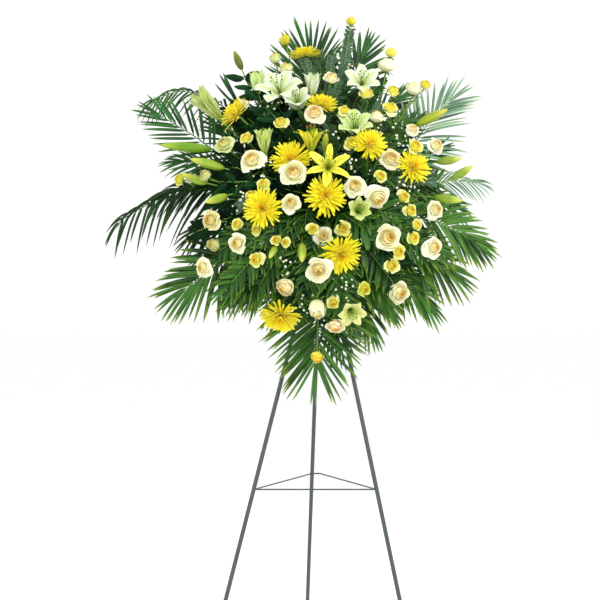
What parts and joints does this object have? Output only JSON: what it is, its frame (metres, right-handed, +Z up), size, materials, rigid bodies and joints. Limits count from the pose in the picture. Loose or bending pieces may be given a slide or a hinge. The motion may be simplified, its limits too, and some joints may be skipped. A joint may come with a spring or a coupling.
{
  "type": "standing funeral spray",
  "caption": "Star-shaped spray of palm fronds, yellow and cream flowers in a wet foam block, leaning back on a braced steel tripod easel.",
  "frame": {"origin": "on the floor, under the middle of the bounding box", "axes": "+Z up, the flowers face -Y, +X to the right seen from the front"},
  "size_m": [1.0527, 0.6345, 1.7221],
  "materials": {
    "painted_steel": "dark grey-green satin paint",
    "tray_plastic": "dark green moulded plastic",
    "wet_foam": "green floral foam, soaked",
    "tape": "green waterproof tape",
    "mum_petal": "bright yellow petals, matte",
    "cream_petal": "ivory petals with a warm heart, matte",
    "yellow_petal": "golden yellow petals, matte",
    "lily_petal": "white-green waxy petals",
    "bud_skin": "yellow-green waxy skin",
    "palm_leaf": "deep green leaf, slight sheen",
    "soft_leaf": "green leaf with pale edges",
    "dark_leaf": "dark green glossy leaf",
    "white_floret": "tiny white petals, matte"
  },
  "bodies": {
    "root": {"leg_left": "painted_steel", "leg_right": "painted_steel", "leg_rear": "painted_steel", "brace_front": "painted_steel", "brace_left": "painted_steel", "brace_right": "painted_steel", "head_bracket": "painted_steel", "foam_tray": "tray_plastic", "foam_block": "wet_foam", "tape_band": "tape", "mum_top": "mum_petal", "mum_upper_left": "mum_petal", "mum_upper_centre": "mum_petal", "mum_left_centre": "mum_petal", "mum_upper_right": "mum_petal", "mum_right": "mum_petal", "mum_left_low": "mum_petal", "mum_centre": "mum_petal", "mum_low_centre": "mum_petal", "mum_bottom": "mum_petal", "cream_roses_top": "cream_petal", "cream_roses_top_right": "cream_petal", "cream_roses_right": "cream_petal", "cream_roses_centre": "cream_petal", "cream_roses_left": "cream_petal", "cream_roses_low_left": "cream_petal", "cream_roses_low_right": "cream_petal", "cream_roses_bottom": "cream_petal", "spray_roses_top": "yellow_petal", "spray_roses_upper": "yellow_petal", "spray_roses_right": "yellow_petal", "spray_roses_left": "yellow_petal", "spray_roses_low": "yellow_petal", "lilies_top_left": "lily_petal", "lilies_top": "lily_petal", "lilies_top_right": "lily_petal", "lily_yellow": "lily_petal", "lilies_low": "lily_petal", "lilies_left": "lily_petal", "lily_buds_left": "bud_skin", "lily_buds_right": "bud_skin", "lily_buds_centre": "bud_skin", "babys_breath": "white_floret", "variegated_foliage": "soft_leaf", "broad_leaves": "dark_leaf", "frond_upper_left": "palm_leaf", "frond_left_arch": "palm_leaf", "frond_left_blades": "palm_leaf", "frond_left": "palm_leaf", "frond_left_drooping": "palm_leaf", "frond_lower_left": "palm_leaf", "frond_bottom_left": "palm_leaf", "frond_bottom": "palm_leaf", "frond_bottom_right": "palm_leaf", "frond_lower_right": "palm_leaf", "frond_right": "palm_leaf", "frond_right_arch": "palm_leaf", "frond_upper_right": "palm_leaf", "frond_top_right": "palm_leaf", "frond_top": "palm_leaf"}
  },
  "joints": []
}
